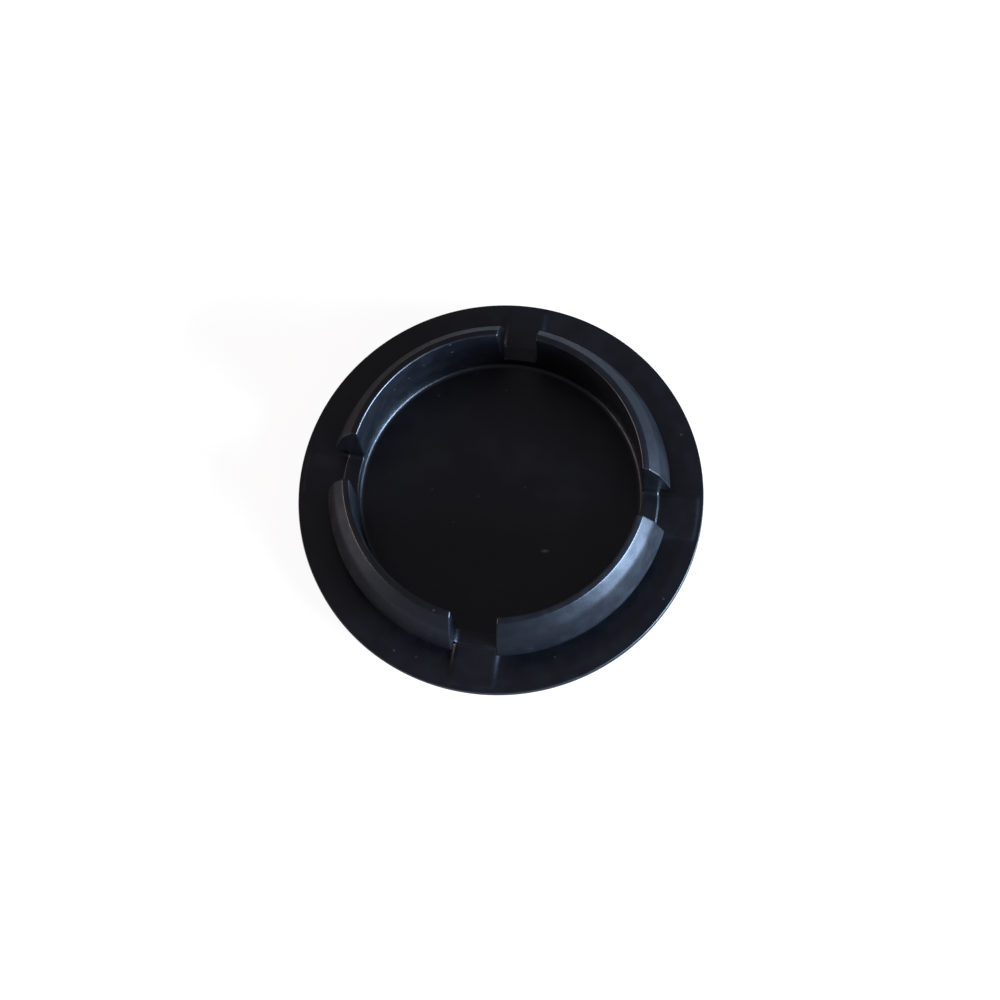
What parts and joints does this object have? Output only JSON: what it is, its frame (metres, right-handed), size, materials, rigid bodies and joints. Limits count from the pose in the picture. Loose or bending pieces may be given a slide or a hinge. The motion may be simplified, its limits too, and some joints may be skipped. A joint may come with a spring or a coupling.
{
  "type": "snap-in hole plug",
  "caption": "Round moulded plug that snaps into a panel hole: domed head with thin flange, and a slotted ring wall with barbed springing legs around an open cup.",
  "frame": {"origin": "centre of the head's flat outer face", "axes": "+Z along the plug's axis from the head towards the legs' crest; +X through the middle of one slot, +Y through the middle of the next"},
  "size_m": [0.038, 0.038, 0.0086],
  "materials": {
    "black_plastic": "satin moulded surface"
  },
  "bodies": {
    "root": {"hole_plug": "black_plastic"}
  },
  "joints": []
}
